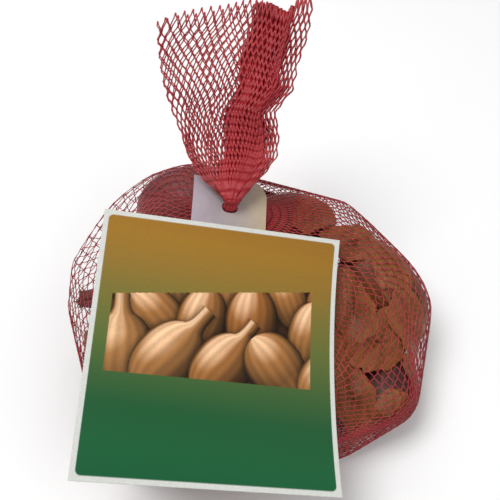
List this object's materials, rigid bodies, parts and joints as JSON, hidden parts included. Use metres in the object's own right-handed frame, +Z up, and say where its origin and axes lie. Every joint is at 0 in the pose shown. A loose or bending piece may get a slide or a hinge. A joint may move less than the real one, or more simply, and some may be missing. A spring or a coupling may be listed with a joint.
{
  "type": "net bag of shallots",
  "caption": "Gathered plastic net bag filled with loose shallot bulbs, with a square card label on a strap that grips the net's twisted neck and a flared tuft above it.",
  "frame": {"origin": "under the middle of the pack's bounding box, at the flat underside it rests on", "axes": "+Z up; +Y from the lower end of the bag towards the gathered tuft; +X to the right across the label"},
  "size_m": [0.1378, 0.1422, 0.1057],
  "materials": {
    "net_plastic": "knitted red polyethylene net",
    "label_card": "printed semi-gloss card, orange fading to green",
    "strap_card": "white plastic-coated strip",
    "clip_metal": "plain crimped aluminium",
    "skin_golden": null,
    "skin_purple": null,
    "skin_maroon": null
  },
  "bodies": {
    "root": {"net_bag": "net_plastic", "label_card": "label_card", "label_strap": "strap_card", "bottom_clip": "clip_metal", "shallot_1": "skin_golden", "shallot_2": "skin_purple", "shallot_3": "skin_golden", "shallot_4": "skin_maroon", "shallot_5": "skin_golden", "shallot_6": "skin_maroon", "shallot_7": "skin_golden", "shallot_8": "skin_purple", "shallot_9": "skin_golden", "shallot_10": "skin_golden", "shallot_11": "skin_golden"}
  },
  "joints": []
}
